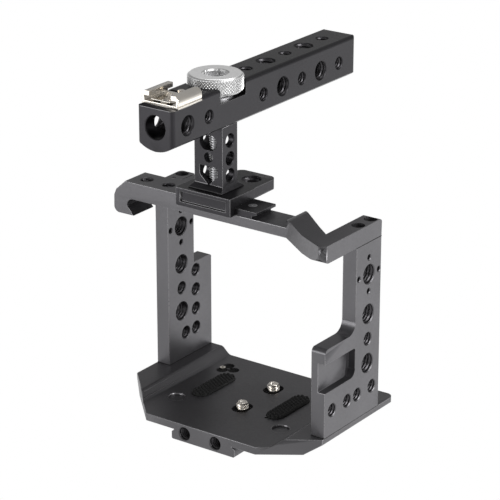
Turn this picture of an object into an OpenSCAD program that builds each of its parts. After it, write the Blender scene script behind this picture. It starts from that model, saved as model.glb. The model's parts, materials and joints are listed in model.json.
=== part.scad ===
// Camera cage with a top handle, a cold shoe and a thumb screw.
// The origin is on the underside of the tripod foot, on the line of the two camera screws and in the
// plane of the side plates' front edges. +X is to the right, +Y to the rear and +Z up.

/* [Cage] */
// Width over the two side plates
cage_w = 120; // [116:1:130]
// Camera screw line to the outer face of the right side plate
axis_to_right = 57.4; // [56:0.2:62]
// Thickness of a side plate
side_t = 7.8; // [7.4:0.1:9]
// Depth of a side plate's upright
side_d = 21.4; // [21:0.2:25]
// Height of a side plate
side_h = 88.9; // [87:0.1:100]
// Break of the machined edges round the hole mouths
mouth_break = 0.4; // [0.2:0.05:0.6]

/* [Right side plate] */
// Depth of the wing in front of the upright
wing_d = 25.8; // [24:0.2:29]
// Height of the wing
wing_h = 45.6; // [44:0.2:48]
// Inside fillet between wing and upright
wing_fillet = 6; // [3:0.5:7]
// Outside corner radius of the wing
wing_corner = 2.5; // [1:0.5:4]
// Depth of the strap pocket into the wing
pocket_deep = 4; // [3:0.25:5]
// Height of the pocket's floor above the plate's foot
pocket_z = 23.3; // [21:0.1:24]
// Height of the pocket
pocket_h = 14.8; // [12:0.1:16]
// Radius of the pocket's lower rear corner
pocket_r = 4; // [1:0.1:6]

/* [Left side plate] */
// Depth of the left plate's lower part
heel_d = 36; // [35:0.2:37]
// Height of the left plate's lower part
heel_h = 50; // [48:0.2:56]
// Corner radius of the lower part
heel_corner = 2; // [1:0.5:4]

/* [Side plate holes] */
// Major diameter of the large accessory threads
big_thread_d = 9.525; // [8:0.025:10]
// Major diameter of the small accessory threads
small_thread_d = 6.35; // [5:0.05:7]
// Rear set of holes from the plate's front edge
hole_line = 10.8; // [10.4:0.1:11]
// Height of the lowest large thread
big_1_h = 26.4; // [25:0.1:28]
// Height of the middle small thread
small_1_h = 39.1; // [38:0.1:40]
// Height of the second large thread
big_2_h = 52.1; // [51:0.1:54]
// Height of the top large thread
big_3_h = 72.5; // [72:0.1:74]
// Radius of the ring of locating pin holes
pin_ring_r = 8.6; // [8:0.1:8.8]
// Diameter of a locating pin hole
pin_hole_d = 2.6; // [2:0.1:3]
// Height of the low row of small threads
low_row_h = 12.8; // [11:0.1:14]
// Height of the lowest thread in the left plate's heel
heel_low_h = 13.5; // [12:0.1:14]
// Pitch of the small threads in the left plate's heel
heel_pitch = 10.6; // [10:0.1:11]
// Heel threads from the plate's front edge
heel_line = 22.6; // [22:0.1:24]

/* [Base] */
// Depth of the base in front of the side plates
base_front = 45.4; // [42:0.2:50]
// Depth of the base behind the side plates' front edges
base_rear = 36.3; // [36.2:0.1:44]
// Thickness of the floor
floor_t = 4; // [3.5:0.1:5]
// Rise of the pads under the side plates
pad_rise = 4; // [3:0.1:5]
// Width of the left pad
left_pad_w = 13.6; // [12:0.2:15]
// Width of the right pad
right_pad_w = 14.3; // [13:0.2:16]
// Run of each ramp from floor to pad
ramp_w = 6.5; // [5:0.1:8]
// Left front corner cut, across
left_cut_w = 28; // [24:0.5:30]
// Left front corner cut, in depth
left_cut_d = 28.4; // [24:0.5:30]
// Right front corner cut, across
right_cut_w = 26.4; // [24:0.2:28]
// Right front corner cut, in depth
right_cut_d = 18.2; // [16:0.2:19]
// Width of the bevel under each side
under_w = 7.6; // [6:0.2:9]
// Height of the bevel under each side
under_h = 5.2; // [4:0.2:5.6]
// Rear corner radius of the base
base_corner = 4; // [2:0.5:6]

/* [Tripod foot] */
// Width of the dovetail foot across its wide lower edge
foot_w = 38; // [36:0.2:40]
// Height of the foot
foot_h = 5.3; // [5:0.1:6]
// Undercut of each side of the foot
foot_under = 1.6; // [1:0.1:2]
// Distance between the two front threads
front_pitch = 18.4; // [16:0.2:20]
// Depth of the front threads
front_deep = 12; // [9:0.5:14]

/* [Camera screws] */
// Front camera screw, in front of the origin
cam_front = 12.7; // [12:0.1:14]
// Rear camera screw, behind the origin
cam_rear = 13.9; // [13:0.1:15]
// Diameter of a camera screw's thread
cam_d = 6.35; // [6:0.05:6.35]
// Height of the thread above the floor
cam_up = 3.4; // [2.6:0.1:5]
// Head diameter of a camera screw
cam_head_d = 12; // [11:0.5:13]
// Head height of a camera screw
cam_head_h = 3.2; // [2.5:0.1:3.6]
// Travel of a camera screw to each side of its middle
cam_travel = 1.5; // [1:0.1:2]

/* [Rubber pads] */
// Length of a pad
grip_l = 30; // [26:0.5:32]
// Width of a pad
grip_w = 9.5; // [8:0.1:11]
// Height of a pad above the floor
grip_up = 1.4; // [1:0.1:2]
// Depth of the pad's pocket in the floor
grip_in = 0.8; // [0.5:0.1:1.2]
// Left pad from the camera screw line
grip_left = 27; // [26:0.2:29]
// Right pad from the camera screw line
grip_right = 18.7; // [17:0.1:20]
// Number of cross ribs on a pad
grip_ribs = 12; // [8:1:14]

/* [Top plate] */
// Thickness of the top plate
deck_t = 8.8; // [8.4:0.1:11]
// Front of the deck from the side plates' front edges
deck_front = 8; // [7.8:0.1:8.4]
// Rear of the deck from the side plates' front edges
deck_rear = 8.3; // [8:0.1:9]
// Reach of the finger hook beyond the left side plate
hook_out = 19.8; // [18:0.1:22]
// Drop of the finger hook below the deck
hook_drop = 8.7; // [7:0.1:10]
// Wall of the finger hook
hook_wall = 8.3; // [7:0.1:9]
// Width of the right arm
arm_w = 9.6; // [9.2:0.1:11]
// Reach of the right arm in front of the side plates
arm_front = 28; // [26.5:0.1:29]
// Width of the rear lug over the left side plate
lug_w = 20.5; // [18:0.5:22]
// Floor of the sliding channel below the deck's top
channel_drop = 3.7; // [3:0.1:4]
// Left end of the channel, left of the screw line's right face
channel_from = 55.2; // [54:0.2:57]
// Right end of the channel, left of the right face
channel_to = 35; // [34.5:0.1:36]
// Rise of the crest beside the channel
crest_rise = 0.9; // [0.6:0.1:2]

/* [Accessory rail] */
// Length of the rail
rail_l = 44; // [40:0.5:46]
// Overhang of the rail's lip over the channel
rail_lip = 2.8; // [2:0.1:4]

/* [Handle] */
// Handle axis, left of the right side plate's outer face
handle_in = 82.2; // [80:0.2:84]
// Length of the handle foot across
shoe_foot_w = 33; // [30:0.5:34]
// Front of the handle foot from its axis
shoe_foot_front = 12; // [11:0.1:13]
// Rear of the handle foot from its axis
shoe_foot_rear = 28; // [26:0.5:30]
// Thickness of the handle foot above the deck
shoe_foot_t = 5.3; // [4.6:0.1:6]
// Drop of the front lip down the deck's front face
lip_drop = 4.1; // [3:0.1:5]
// Width of the post
post_w = 17; // [16:0.2:18]
// Depth of the post
post_d = 12.2; // [11.8:0.1:13]
// Height of the post between handle foot and bar
post_h = 30.4; // [28:0.2:36]
// Width of the bar
bar_w = 21; // [20:0.2:23]
// Height of the bar at its sides
bar_h = 19.2; // [18.4:0.2:22]
// Sag of the bar's rounded underside
bar_sag = 4; // [2:0.1:4.6]
// Length of the bar in front of its axis
bar_front = 47.4; // [46:0.2:50]
// Length of the bar behind its axis
bar_rear = 106; // [103:0.5:120]
// Pitch of the bar's holes
bar_pitch = 16.5; // [16:0.1:17]
// Diameter of the bore in the bar's front end
nose_d = 11.6; // [10:0.1:12]

/* [Thumb screw] */
// Diameter of the knurled wheel
wheel_d = 27.4; // [26:0.2:28]
// Thickness of the wheel
wheel_t = 8.4; // [7:0.1:9]
// Diameter of the long screw
rod_d = 6.35; // [6:0.05:6.35]
// Depth of the wheel pocket in the bar
wheel_pocket = 7.5; // [7:0.1:9]
// Clearance under the wheel
wheel_gap = 2.2; // [1.8:0.1:4]

/* [Cold shoe] */
// Width of the shoe
shoe_w = 21.4; // [21:0.1:22.5]
// Length of the shoe
shoe_l = 18.4; // [17:0.1:19]
// Height of the shoe
shoe_h = 6.4; // [6:0.1:7]
// Width of the slot that takes an accessory foot
shoe_slot_w = 18.6; // [18.6:0.1:19]
// Height of that slot
shoe_slot_h = 2.3; // [2:0.1:2.6]
// Opening between the shoe's lips
shoe_gap = 12.6; // [12:0.1:13]

/* [Hidden] */
$fn = 64;
// One overrun for every cut, and the clearances between pieces
over = 1;
slip = 0.3;
run = 0.05;

// Levels and faces
z_under = foot_h;
z_floor = foot_h + floor_t;
z_pad = z_floor + pad_rise;
z_deck = z_pad + side_h;
z_top = z_deck + deck_t;
z_channel = z_top - channel_drop;
x_right = axis_to_right;
x_left = axis_to_right - cage_w;
x_handle = x_right - handle_in;
z_foot_top = z_top + shoe_foot_t;
z_bar = z_foot_top + post_h;
z_bar_side = z_bar + bar_sag;
z_bar_top = z_bar_side + bar_h;
z_pocket = z_bar_top - wheel_pocket;
rod_way = rod_d + 2 * slip;

// Screws that join the plates
join_d = 3;
join_head_d = 5.5;
join_head_h = 2.2;
join_bite = 8;
join_inset = 5;
flat_head_d = 4.6;
flat_head_h = 1.4;
flat_d = 2.5;
hex_key = 2.5;
hex_deep = 1.2;
small_key = 1.5;

// A solid between two corners
module span(a, b) {
  translate(a) cube(b - a);
}

// What a quarter round leaves of a square corner at the origin, the body lying in +X and +Y
module corner(r, h) {
  difference() {
    translate([-over, -over, -over]) cube([r + over, r + over, h + 2 * over]);
    translate([r, r, -2 * over]) cylinder(r = r, h = h + 4 * over);
  }
}

// A drill along +Z from the origin, its mouth broken
module drill(d, h) {
  translate([0, 0, -over]) cylinder(d = d, h = h + over);
  cylinder(d1 = d + 2 * mouth_break, d2 = d, h = mouth_break);
}

// A drill that goes right through a wall of the thickness h, both mouths broken
module through(d, h) {
  translate([0, 0, -over]) cylinder(d = d, h = h + 2 * over);
  cylinder(d1 = d + 2 * mouth_break, d2 = d, h = mouth_break);
  translate([0, 0, h - mouth_break]) cylinder(d1 = d, d2 = d + 2 * mouth_break, h = mouth_break);
}

// Turns +Z to +X, to +Y or to -Z
module to_x() {
  rotate([0, 90, 0]) children();
}
module to_y() {
  rotate([-90, 0, 0]) children();
}
module to_down() {
  rotate([180, 0, 0]) children();
}

// A socket head screw with its head's top at the origin, pointing down
module cap_screw(d, head_d, head_h, len) {
  difference() {
    union() {
      translate([0, 0, -head_h]) cylinder(d = head_d, h = head_h);
      translate([0, 0, -head_h - len]) cylinder(d = d, h = len);
    }
    translate([0, 0, -hex_deep]) cylinder(d = hex_key, h = hex_deep + over, $fn = 6);
  }
}

// A flat head screw with its head's top at the origin, pointing down
module flat_screw(d, head_d, head_h, len) {
  difference() {
    union() {
      translate([0, 0, -head_h]) cylinder(d1 = d, d2 = head_d, h = head_h);
      translate([0, 0, -len]) cylinder(d = d, h = len - head_h);
    }
    translate([0, 0, -head_h]) cylinder(d = small_key, h = head_h + over, $fn = 6);
  }
}

// The seat of a flat head screw in the piece that it holds
module flat_seat(d, head_d, head_h, len) {
  translate([0, 0, -head_h - run]) cylinder(d1 = d + 2 * run, d2 = head_d + 2 * run, h = head_h + run);
  cylinder(d = head_d + 2 * run, h = over);
  translate([0, 0, -len]) cylinder(d = d + 2 * run, h = len);
}

// A hole for a screw's shank, tight enough to count as its thread
module shank_hole(d, len) {
  translate([0, 0, -len - slip]) cylinder(d = d + 2 * run, h = len + slip + over);
}

// The base with its tripod foot
ramp_steps = 10;
foot_flare = 1.4;
foot_bevel = 0.8;
foot_rear_in = 6;
front_thread_z = 4.5;
front_off = 2;
base_seat_t = 1.8;
base_head_h = 1.6;
plug_d = 9;
plug_deep = 1;
plug_front = 21.4;
plug_left = 33.9;
plug_right = 29.2;
lobe_d = 6;
lobe_reach = 3.4;
lobe_left = 33.6;
lobe_rear = 21.4;
pin_x = 16.2;
pin_front = 15.4;
pin_d = 1.6;
cam_slot_w = 8.8;
cam_washer_d = 12.6;
cam_washer_t = 1;
cam_pocket_w = cam_washer_d + 2 * slip;

function ramp(x0, x1, z0, z1) =
  [for (i = [0:ramp_steps]) let (t = i / ramp_steps) [x0 + (x1 - x0) * t, z0 + (z1 - z0) * (1 - cos(180 * t)) / 2]];

// Screw places along a side plate's foot, from its front edge
left_foot_y = [join_inset, heel_d - join_inset];
right_foot_y = [join_inset - wing_d, side_d - join_inset];
left_mid = x_left + side_t / 2;
right_mid = x_right - side_t / 2;

// A slot with round ends along Y, centred on the origin
module slot_y(w, l, h) {
  for (s = [-1, 1]) translate([0, s * (l - w) / 2, 0]) cylinder(d = w, h = h);
  translate([-w / 2, -(l - w) / 2, 0]) cube([w, l - w, h]);
}

module base_body() {
  profile = concat(
    [[x_left, z_under + under_h], [x_left + under_w, z_under], [-foot_w / 2 + foot_under, z_under],
     [-foot_w / 2, z_under - foot_flare], [-foot_w / 2, foot_bevel], [-foot_w / 2 + foot_bevel, 0],
     [foot_w / 2 - foot_bevel, 0], [foot_w / 2, foot_bevel], [foot_w / 2, z_under - foot_flare],
     [foot_w / 2 - foot_under, z_under], [x_right - under_w, z_under], [x_right, z_under + under_h],
     [x_right, z_pad]],
    ramp(x_right - right_pad_w, x_right - right_pad_w - ramp_w, z_pad, z_floor),
    ramp(x_left + left_pad_w + ramp_w, x_left + left_pad_w, z_floor, z_pad),
    [[x_left, z_pad]]);
  translate([0, base_rear, 0]) rotate([90, 0, 0]) linear_extrude(base_front + base_rear) polygon(profile);
}

module base_cuts() {
  // Front corners
  translate([0, 0, -over]) linear_extrude(z_pad + 2 * over) {
    polygon([[x_left - over, -base_front - over], [x_left + left_cut_w, -base_front - over],
      [x_left + left_cut_w, -base_front], [x_left, left_cut_d - base_front], [x_left - over, left_cut_d - base_front]]);
    polygon([[x_right + over, -base_front - over], [x_right - right_cut_w, -base_front - over],
      [x_right - right_cut_w, -base_front], [x_right, right_cut_d - base_front], [x_right + over, right_cut_d - base_front]]);
  }
  // Rear corners
  translate([x_right, base_rear, 0]) rotate([0, 0, 180]) corner(base_corner, z_pad);
  translate([x_left, base_rear, 0]) rotate([0, 0, -90]) corner(base_corner, z_pad);
  // Foot ends before the floor does
  span([-foot_w / 2 - over, base_rear - foot_rear_in, -over], [foot_w / 2 + over, base_rear + over, z_under]);
  // Round recesses and the lobed recess in the floor
  for (x = [-plug_left, plug_right]) translate([x, -plug_front, z_floor - plug_deep]) cylinder(d = plug_d, h = plug_deep + over);
  for (a = [0, 120, 240])
    translate([-lobe_left, lobe_rear, z_floor - plug_deep]) rotate([0, 0, a])
      translate([lobe_reach, 0, 0]) cylinder(d = lobe_d, h = plug_deep + over);
  translate([-lobe_left - lobe_reach, lobe_rear, z_floor - set_screw_l - slip])
    cylinder(d = set_screw_d + 2 * run, h = floor_t + over);
  translate([pin_x, -pin_front, z_floor - floor_t / 2]) cylinder(d = pin_d, h = floor_t);
  // Pockets for the rubber pads
  for (x = [-grip_left, grip_right])
    translate([x, 0, z_floor - grip_in]) slot_y(grip_w + 2 * slip, grip_l + 2 * slip, grip_in + over);
  // Slots for the camera screws, with a wider pocket under the floor for washer and head
  for (y = [-cam_front, cam_rear]) translate([0, y, -over]) {
    slot_y(cam_slot_w, cam_slot_w + 2 * cam_travel, z_floor + 2 * over);
    slot_y(cam_pocket_w, cam_pocket_w + 2 * cam_travel, z_under + over);
  }
  // Threads in the front edge
  for (s = [-1, 1])
    translate([s * front_pitch / 2 - front_off, -base_front, front_thread_z]) to_y() drill(small_thread_d, front_deep);
  // Screws that hold the side plates
  for (y = left_foot_y) translate([left_mid, y, 0]) base_screw_way();
  for (y = right_foot_y) translate([right_mid, y, 0]) base_screw_way();
}

module base_screw_way() {
  translate([0, 0, z_under - over]) cylinder(d = join_head_d + 2 * run, h = z_pad - base_seat_t - z_under + over);
  cylinder(d = join_d + 2 * run, h = z_pad + over);
}

module base_plate() {
  color("dimgray") difference() {
    base_body();
    base_cuts();
  }
}

module base_screw(x, y) {
  translate([x, y, z_pad - base_seat_t - base_head_h]) to_down()
    cap_screw(join_d, join_head_d, base_head_h, base_seat_t + join_bite);
}

module left_base_screws() {
  color("black") for (y = left_foot_y) base_screw(left_mid, y);
}

module right_base_screws() {
  color("black") for (y = right_foot_y) base_screw(right_mid, y);
}

// A small chrome screw in the lobed recess
set_screw_d = 3;
set_screw_l = 3.4;
module floor_set_screw() {
  color("silver") translate([-lobe_left - lobe_reach, lobe_rear, z_floor - set_screw_l]) difference() {
    cylinder(d = set_screw_d, h = set_screw_l);
    translate([0, 0, set_screw_l - hex_deep]) cylinder(d = set_screw_d / 2, h = hex_deep + over, $fn = 6);
  }
}

// Side plates
module plate_screw_holes(x, ys) {
  for (y = ys) translate([x, y, z_pad - over]) cylinder(d = join_d + 2 * run, h = join_bite + slip + over);
}

module upright_holes(x) {
  for (h = [big_1_h, big_2_h, big_3_h]) translate([x, hole_line, z_pad + h]) to_x() through(big_thread_d, side_t);
  translate([x, hole_line, z_pad + small_1_h]) to_x() through(small_thread_d, side_t);
  for (a = [0, 90, 180, 270])
    translate([x, hole_line + pin_ring_r * cos(a), z_pad + big_3_h + pin_ring_r * sin(a)]) to_x() through(pin_hole_d, side_t);
}

module left_side_plate() {
  color("dimgray") difference() {
    union() {
      span([x_left, 0, z_pad], [x_left + side_t, side_d, z_deck]);
      span([x_left, 0, z_pad], [x_left + side_t, heel_d, z_pad + heel_h]);
    }
    translate([x_left, heel_d, z_pad + heel_h]) rotate([0, 90, 0]) rotate([0, 0, -90]) corner(heel_corner, side_t);
    upright_holes(x_left);
    for (i = [0:3]) translate([x_left, heel_line, z_pad + heel_low_h + i * heel_pitch]) to_x() through(small_thread_d, side_t);
    translate([x_left, heel_line - heel_side_step, z_pad + heel_low_h]) to_x() through(small_thread_d, side_t);
    plate_screw_holes(left_mid, left_foot_y);
    translate([left_mid, top_screw_y[1], z_deck]) shank_hole(join_d, join_bite);
    translate([left_mid, locating_y, z_deck]) shank_hole(locating_d, locating_in);
  }
}
heel_side_step = 8.6;

// The wing's low threads, from the upright's front edge
low_row_y = [15.1, 2.3, -6.4, -19.4];
wing_front = -wing_d;
module right_side_plate() {
  color("dimgray") difference() {
    union() {
      span([x_right - side_t, 0, z_pad], [x_right, side_d, z_deck]);
      span([x_right - side_t, wing_front, z_pad], [x_right, side_d, z_pad + wing_h]);
      difference() {
        span([x_right - side_t, -wing_fillet, z_pad + wing_h], [x_right, 0, z_pad + wing_h + wing_fillet]);
        translate([x_right - side_t - over, -wing_fillet, z_pad + wing_h + wing_fillet]) to_x()
          cylinder(r = wing_fillet, h = side_t + 2 * over);
      }
    }
    translate([x_right - side_t, wing_front, z_pad + wing_h]) rotate([0, 90, 0]) corner(wing_corner, side_t);
    strap_pocket();
    upright_holes(x_right - side_t);
    for (y = low_row_y) translate([x_right - side_t, y, z_pad + low_row_h]) to_x() through(small_thread_d, side_t);
    plate_screw_holes(right_mid, right_foot_y);
    for (y = top_screw_y) translate([right_mid, y, z_deck]) shank_hole(join_d, join_bite);
  }
}

pocket_top_r = 1.5;
module strap_pocket() {
  z0 = z_pad + pocket_z;
  difference() {
    span([x_right - pocket_deep, wing_front - over, z0], [x_right + over, 0, z0 + pocket_h]);
    translate([x_right - pocket_deep, 0, z0]) rotate([0, 90, 0]) rotate([0, 0, 180]) corner(pocket_r, pocket_deep + over);
    translate([x_right - pocket_deep, 0, z0 + pocket_h]) rotate([0, 90, 0]) rotate([0, 0, -90])
      corner(pocket_top_r, pocket_deep + over);
  }
}

// Screws and a pin between side plates and top plate
top_screw_in = 4.2;
top_screw_pitch = 10.6;
top_screw_y = [side_d - top_screw_in - top_screw_pitch, side_d - top_screw_in];
top_sink = 4.6;
locating_d = 2.5;
locating_pitch = 7.3;
locating_y = side_d - top_screw_in - locating_pitch;
locating_in = 6;
locating_down = 0.4;
module top_screw(x, y) {
  translate([x, y, z_top - top_sink + join_head_h])
    cap_screw(join_d, join_head_d, join_head_h, deck_t - top_sink + join_bite);
}
module left_top_screw() {
  color("black") top_screw(left_mid, top_screw_y[1]);
}
module right_top_screws() {
  color("black") for (y = top_screw_y) top_screw(right_mid, y);
}
module left_locating_pin() {
  color("silver") translate([left_mid, locating_y, z_deck - locating_in])
    cylinder(d = locating_d, h = locating_in + deck_t - locating_down);
}

// Top plate
hook_bevel_w = 7.3;
hook_bevel_h = 5.3;
hook_shoulder_w = 1.4;
hook_shoulder_h = 8.5;
hook_foot = 12.3;
hook_round = 3.4;
hook_blend = 3.7;
hook_toe = 4.6;
lug_corner = 2.5;
slit_w = 0.8;
slit_from_rear = 12;
slit_in = 8.6;
elbow_in = 17.5;
elbow_front = 20.4;
nose_in = 3.2;
nose_back = 2.6;
nose_round = 4.5;
inner_elbow = 12.1;
arm_corner = 2;
deck_hole_left = 4.9;
deck_hole_right = 8.7;
crest_at = 31;
crest_start = 33.4;
crest_end = 28;
x_hook = x_left - hook_out;
x_rail = x_right - channel_from;

// Points on an arc in a plane
function arc(cx, cy, r, a0, a1, n) = [for (i = [0:n]) let (a = a0 + (a1 - a0) * i / n) [cx + r * cos(a), cy + r * sin(a)]];

module deck_plan() {
  polygon([[x_hook, -deck_front], [x_right - channel_to, -deck_front], [x_right - elbow_in, -elbow_front],
    [x_right - nose_in, -arm_front], [x_right, nose_back - arm_front], [x_right, side_d], [x_right - arm_w, side_d],
    [x_right - arm_w, -inner_elbow], [x_right - channel_to - slip, deck_rear], [x_left + lug_w, deck_rear],
    [x_left + lug_w, side_d], [x_left, side_d], [x_left, deck_rear], [x_hook, deck_rear]]);
}

// The finger hook in the XZ plane, under the deck's left end
module hook_profile() {
  polygon(concat([[x_hook, z_deck + hook_round], [x_hook, z_deck - hook_drop + hook_round]],
    arc(x_hook + hook_round, z_deck - hook_drop + hook_round, hook_round, 180, 270, 8),
    [[x_hook + hook_foot, z_deck - hook_drop], [x_hook + hook_wall, z_deck - hook_drop + hook_toe]],
    arc(x_hook + hook_wall + hook_blend, z_deck - hook_blend, hook_blend, 180, 90, 8),
    [[x_hook + hook_wall + hook_blend, z_deck + hook_round]]));
}

module crest() {
  intersection() {
    translate([0, deck_rear, 0]) rotate([90, 0, 0]) linear_extrude(deck_rear + arm_front)
      polygon([[x_right - channel_to - slip, z_top - over], [x_right - channel_to - slip, z_top],
        [x_right - crest_start, z_top + crest_rise * crest_shoulder_share], [x_right - crest_at, z_top + crest_rise],
        [x_right - crest_end, z_top + crest_rise * crest_shoulder_share],
        [x_right - elbow_in, z_top], [x_right - elbow_in, z_top - over]]);
    linear_extrude(z_top + crest_rise + over) deck_plan();
  }
}
crest_shoulder_share = 0.75;

module top_plate() {
  color("dimgray") difference() {
    union() {
      translate([0, 0, z_deck]) linear_extrude(deck_t) deck_plan();
      translate([0, deck_rear, 0]) rotate([90, 0, 0]) linear_extrude(deck_front + deck_rear) hook_profile();
      crest();
    }
    // Bevel over the hook
    translate([0, deck_rear + over, 0]) rotate([90, 0, 0]) linear_extrude(deck_front + deck_rear + 2 * over)
      polygon([[x_hook - over, z_top + over], [x_hook + hook_bevel_w, z_top + over], [x_hook + hook_bevel_w, z_top],
        [x_hook + hook_shoulder_w, z_top - hook_bevel_h], [x_hook, z_top - hook_shoulder_h],
        [x_hook - over, z_top - hook_shoulder_h]]);
    // Corners seen from above
    translate([x_left, side_d, z_deck]) rotate([0, 0, -90]) corner(lug_corner, deck_t);
    translate([x_right - arm_w - over, side_d, z_top]) rotate([0, 90, 0]) rotate([0, 0, -90]) corner(arm_corner, arm_w + 2 * over);
    // Round lower front end of the arm
    translate([x_right - arm_front, -arm_front, z_deck]) rotate([0, 90, 0]) rotate([0, 0, 90])
      corner(nose_round, arm_front + over);
    // Saw slit behind the left lug
    span([x_left + slit_in, side_d - slit_from_rear, z_deck - over], [x_left + slit_in + slit_w, side_d + over, z_top + over]);
    // Channel and rail pocket
    span([x_rail, -deck_front - over, z_channel], [x_right - channel_to, deck_rear + over, z_top + crest_rise + over]);
    span([x_rail + rail_lip - rail_l - run, -deck_front - over, z_channel], [x_rail + over, deck_rear + over, z_top + over]);
    // Threads
    for (x = [x_left - deck_hole_left, x_left + deck_hole_right]) translate([x, 0, z_deck]) through(small_thread_d, deck_t);
    translate([x_handle, 0, z_deck - over]) cylinder(d = rod_way, h = deck_t + 2 * over);
    for (x = rail_screw_x) translate([x, 0, z_channel]) shank_hole(flat_d, rail_screw_l - channel_drop);
    // Screws and pin into the side plates
    for (y = top_screw_y) translate([right_mid, y, z_top]) deck_screw_way();
    translate([left_mid, top_screw_y[1], z_top]) deck_screw_way();
    translate([left_mid, locating_y, z_deck - over]) cylinder(d = locating_d + 2 * run, h = deck_t + 2 * over);
  }
}

sink_d = 6.6;
module deck_screw_way() {
  translate([0, 0, -top_sink]) cylinder(d = sink_d, h = top_sink + over);
  translate([0, 0, -deck_t - over]) cylinder(d = join_d + 2 * run, h = deck_t + over);
}

// Accessory rail, screwed into the top plate's pocket
rail_screw_l = 7;
rail_end_in = 5;
rail_screw_x = [x_rail + rail_lip - rail_l + rail_end_in, x_rail - rail_end_in];
rail_neck = 1.4;
module accessory_rail() {
  x0 = x_rail + rail_lip - rail_l;
  color("dimgray") difference() {
    translate([0, deck_rear, 0]) rotate([90, 0, 0]) linear_extrude(deck_front + deck_rear)
      polygon([[x0, z_channel], [x_rail, z_channel], [x_rail, z_channel + rail_neck], [x_rail + rail_lip, z_top - rail_neck],
        [x_rail + rail_lip, z_top], [x0, z_top]]);
    for (x = rail_screw_x) translate([x, 0, z_top]) flat_seat(flat_d, flat_head_d, flat_head_h, channel_drop + over);
    translate([x_handle, 0, z_channel - over]) cylinder(d = rod_way, h = channel_drop + 2 * over);
  }
}
module rail_screws() {
  color("silver") for (x = rail_screw_x) translate([x, 0, z_top]) flat_screw(flat_d, flat_head_d, flat_head_h, rail_screw_l);
}

// Rubber pads
rib_h = 0.7;
rib_share = 0.55;
module rubber_pad(x) {
  pitch = grip_l / grip_ribs;
  color("black") translate([x, 0, z_floor - grip_in]) {
    slot_y(grip_w, grip_l, grip_in + grip_up - rib_h);
    intersection() {
      slot_y(grip_w, grip_l, grip_in + grip_up);
      for (i = [0:grip_ribs - 1])
        translate([-grip_w / 2, -grip_l / 2 + pitch * (i + (1 - rib_share) / 2), 0])
          cube([grip_w, pitch * rib_share, grip_in + grip_up]);
    }
  }
}
module left_rubber_pad() {
  rubber_pad(-grip_left);
}
module right_rubber_pad() {
  rubber_pad(grip_right);
}

// Camera screws, each captive in a washer that slides under the floor
cam_tip = 0.6;
cam_neck_d = 5.2;
cam_slot_share = 0.16;
cam_key_deep = 1.4;
module camera_washer(y) {
  color("silver") translate([0, y, z_under - cam_washer_t]) difference() {
    cylinder(d = cam_washer_d, h = cam_washer_t);
    translate([0, 0, -over]) cylinder(d = cam_neck_d + 2 * slip, h = cam_washer_t + 2 * over);
  }
}
module front_screw_washer() {
  camera_washer(-cam_front);
}
module rear_screw_washer() {
  camera_washer(cam_rear);
}
module camera_screw(y) {
  z_head = z_under - cam_washer_t - cam_head_h;
  z_tip = z_floor + cam_up;
  color("silver") translate([0, y, 0]) difference() {
    union() {
      translate([0, 0, z_head]) cylinder(d = cam_head_d, h = cam_head_h);
      translate([0, 0, z_head]) cylinder(d = cam_neck_d, h = z_floor - z_head + over);
      translate([0, 0, z_floor]) cylinder(d = cam_d, h = cam_up - cam_tip);
      translate([0, 0, z_tip - cam_tip]) cylinder(d1 = cam_d, d2 = cam_d - 2 * cam_tip, h = cam_tip);
    }
    translate([0, 0, z_tip - cam_key_deep]) cylinder(d = cam_d / 2, h = cam_key_deep + over, $fn = 6);
    translate([-cam_head_d / 2 - over, -cam_head_d * cam_slot_share / 2, z_head - over])
      cube([cam_head_d + 2 * over, cam_head_d * cam_slot_share, cam_key_deep + over]);
  }
}
module front_camera_screw() {
  camera_screw(-cam_front);
}
module rear_camera_screw() {
  camera_screw(cam_rear);
}

// Foot of the handle, seated on the deck with a lip down its front face
foot_left = 15.8;
tail_left = 5.8;
tail_right = 16.7;
tail_corner = 4;
tail_thread_x = 7.8;
tail_thread_y = 18.7;
panel_in = 3;
panel_deep = 1;
panel_down = 1.7;
panel_up = 2;
clip_room = 2.2;
post_screw_x = 6.6;
post_screw_y = 4.2;
post_bite = 3.8;
module handle_foot() {
  x0 = x_handle - foot_left;
  x1 = x0 + shoe_foot_w;
  color("dimgray") difference() {
    union() {
      span([x0, -shoe_foot_front, z_top], [x1, deck_rear, z_foot_top]);
      span([x0, -shoe_foot_front, z_top - lip_drop], [x1, -deck_front - run, z_foot_top]);
      span([x_handle - tail_left, 0, z_top], [x_handle + tail_right, shoe_foot_rear, z_foot_top]);
    }
    translate([x_handle - tail_left, shoe_foot_rear, z_top]) rotate([0, 0, -90]) corner(tail_corner, shoe_foot_t);
    translate([x_handle + tail_right, shoe_foot_rear, z_top]) rotate([0, 0, 180]) corner(tail_corner, shoe_foot_t);
    span([x0 + panel_in, -shoe_foot_front - over, z_top - panel_down],
      [x1 - panel_in, panel_deep - shoe_foot_front, z_foot_top - panel_up]);
    translate([x_handle + tail_thread_x, tail_thread_y, z_top]) through(big_thread_d, shoe_foot_t);
    translate([x_handle, 0, z_top - over]) cylinder(d = rod_way, h = shoe_foot_t + 2 * over);
    translate([x_handle, 0, z_top - over]) cylinder(d = clip_d + 2 * slip, h = clip_room + over);
    post_screw_places() to_down() flat_seat(flat_d, flat_head_d, flat_head_h, shoe_foot_t + over);
  }
}

module post_screw_places() {
  for (x = [-post_screw_x, post_screw_x]) for (y = [-post_screw_y, post_screw_y]) translate([x_handle + x, y, z_top]) children();
}
module post_screws() {
  color("silver") post_screw_places() to_down() flat_screw(flat_d, flat_head_d, flat_head_h, shoe_foot_t + post_bite);
}

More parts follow.
